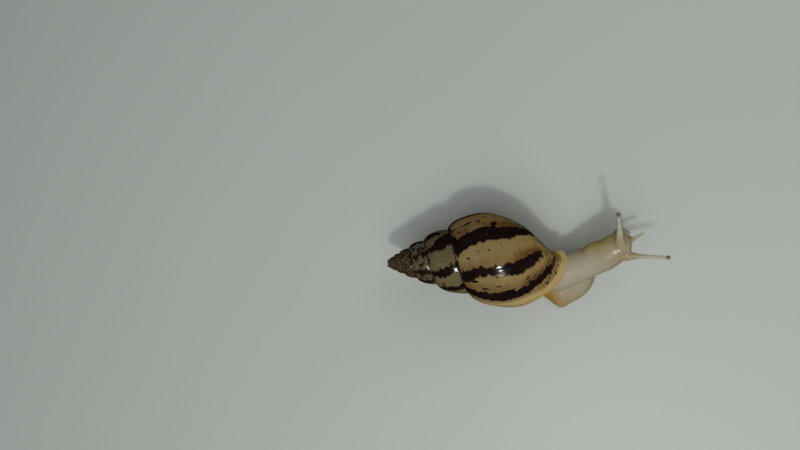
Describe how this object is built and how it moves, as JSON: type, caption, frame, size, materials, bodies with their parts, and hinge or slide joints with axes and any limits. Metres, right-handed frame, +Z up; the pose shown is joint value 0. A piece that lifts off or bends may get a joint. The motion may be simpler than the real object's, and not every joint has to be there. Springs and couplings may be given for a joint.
{
  "type": "giant african land snail",
  "caption": "Life-size giant African land snail, crawling with its head raised and turned, under a tall right-handed coiled shell with dark flame stripes.",
  "frame": {"origin": "the middle of the sole of the foot, on the floor", "axes": "+X the way the snail crawls and the shell's opening faces down towards it, +Y the snail's left, +Z up"},
  "size_m": [0.1363, 0.0489, 0.0455],
  "materials": {
    "shell": "gloss",
    "mantle": "wet",
    "flesh": "wet",
    "eye": "gloss"
  },
  "bodies": {
    "root": {"shell": "shell", "mantle_collar": "mantle", "tail": "flesh", "foot_middle": "flesh", "foot_front": "flesh", "trunk": "flesh", "neck": "flesh", "head": "flesh", "mouth_lobe_left": "flesh", "mouth_lobe_right": "flesh", "eye_stalk_left": "flesh", "eye_stalk_right": "flesh", "feeler_left": "flesh", "feeler_right": "flesh", "eye_left": "eye", "eye_right": "eye"}
  },
  "joints": []
}
